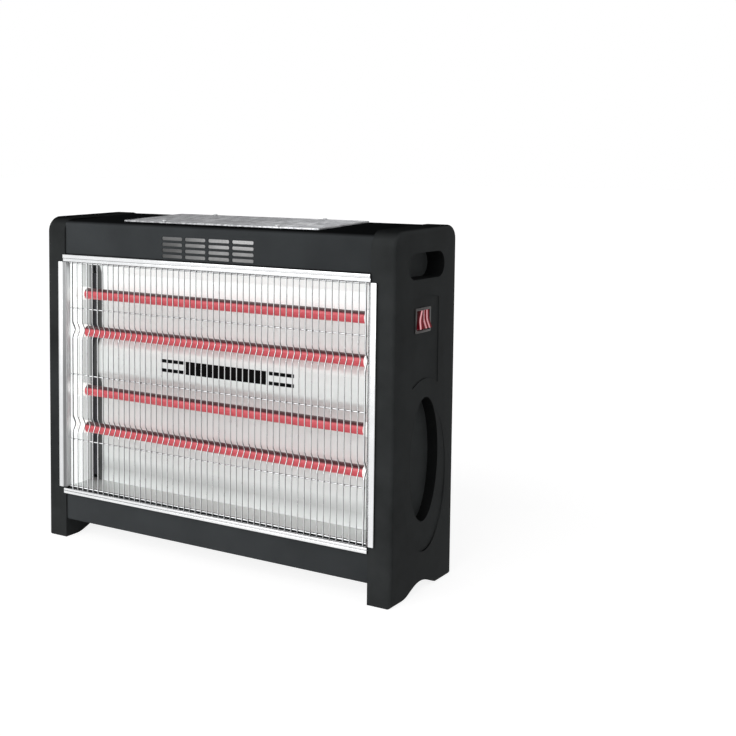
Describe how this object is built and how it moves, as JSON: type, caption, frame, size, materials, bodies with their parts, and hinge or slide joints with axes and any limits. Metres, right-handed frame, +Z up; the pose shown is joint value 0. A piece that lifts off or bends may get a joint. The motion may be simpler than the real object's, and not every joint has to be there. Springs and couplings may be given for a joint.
{
  "type": "electric quartz heater",
  "caption": "Free-standing radiant heater: glowing quartz tubes in a polished reflector behind a chromed wire guard, between two moulded side panels.",
  "frame": {"origin": "on the floor under the middle of the heater's outline", "axes": "+X along the heater towards the switch side, +Z up, -Y towards the glowing front"},
  "size_m": [0.6042, 0.176, 0.4917],
  "materials": {
    "black_plastic": "moulded, satin black",
    "charcoal_paint": "satin charcoal powder coat",
    "polished_sheet": "bright polished",
    "plated_steel": "zinc plated",
    "chromed_steel": "bright chrome",
    "dark_steel": "dark grey coat",
    "glowing_quartz": "quartz lit red from inside",
    "hot_wire": "resistance wire, glowing",
    "white_ceramic": "unglazed white",
    "badge_black": "near-black, semi-gloss",
    "switch_black": "black moulded nylon",
    "switch_red": "translucent red, lit",
    "lead_sheath": "glass-fibre sheath",
    "grey_nylon": "moulded grey"
  },
  "bodies": {
    "root": {"back_panel": "charcoal_paint", "back_screw_1": "plated_steel", "back_screw_2": "plated_steel", "back_screw_3": "plated_steel", "badge_bar": "badge_black", "base_pan": "charcoal_paint", "cavity_floor": "polished_sheet", "cheek_left": "polished_sheet", "cheek_right": "polished_sheet", "cord_gland": "black_plastic", "end_cap_1_left": "white_ceramic", "end_cap_1_right": "white_ceramic", "end_cap_2_left": "white_ceramic", "end_cap_2_right": "white_ceramic", "end_cap_3_left": "white_ceramic", "end_cap_3_right": "white_ceramic", "end_cap_4_left": "white_ceramic", "end_cap_4_right": "white_ceramic", "end_plate_left": "plated_steel", "end_plate_right": "plated_steel", "feed_lead": "lead_sheath", "guard": "chromed_steel", "heat_shield": "polished_sheet", "heating_coil_1": "hot_wire", "heating_coil_2": "hot_wire", "heating_coil_3": "hot_wire", "heating_coil_4": "hot_wire", "jumper_lead_lower": "lead_sheath", "jumper_lead_upper": "lead_sheath", "lead_grommet": "black_plastic", "mesh_plate": "plated_steel", "mesh_screw_1": "plated_steel", "mesh_screw_2": "plated_steel", "mesh_screw_3": "plated_steel", "mesh_screw_4": "plated_steel", "quartz_tube_1": "glowing_quartz", "quartz_tube_2": "glowing_quartz", "quartz_tube_3": "glowing_quartz", "quartz_tube_4": "glowing_quartz", "reflector": "polished_sheet", "reflector_bracket_left": "dark_steel", "reflector_bracket_right": "dark_steel", "side_panel_left": "black_plastic", "side_panel_right": "black_plastic", "supply_lead_1": "lead_sheath", "supply_lead_2": "lead_sheath", "supply_lead_3": "lead_sheath", "supply_lead_4": "lead_sheath", "switch_axle": "plated_steel", "switch_housing": "switch_black", "terminal_block": "white_ceramic", "thermal_cutout": "grey_nylon", "tilt_switch": "black_plastic", "trim_bottom": "chromed_steel", "trim_left": "chromed_steel", "trim_right": "chromed_steel", "trim_top": "chromed_steel", "upper_casing": "charcoal_paint"},
    "rocker_1_body": {"rocker_1": "switch_red"},
    "rocker_2_body": {"rocker_2": "switch_red"}
  },
  "joints": [
    {"name": "rocker_1_tilt", "type": "hinge", "parent": "root", "child": "rocker_1_body", "pos_m": [0.2965, -0.01568, 0.36652], "axis": [0, 1, 0], "range_deg": [0, 22]},
    {"name": "rocker_2_tilt", "type": "hinge", "parent": "root", "child": "rocker_2_body", "pos_m": [0.2965, 0.00267, 0.36652], "axis": [0, 1, 0], "range_deg": [0, 22]}
  ]
}
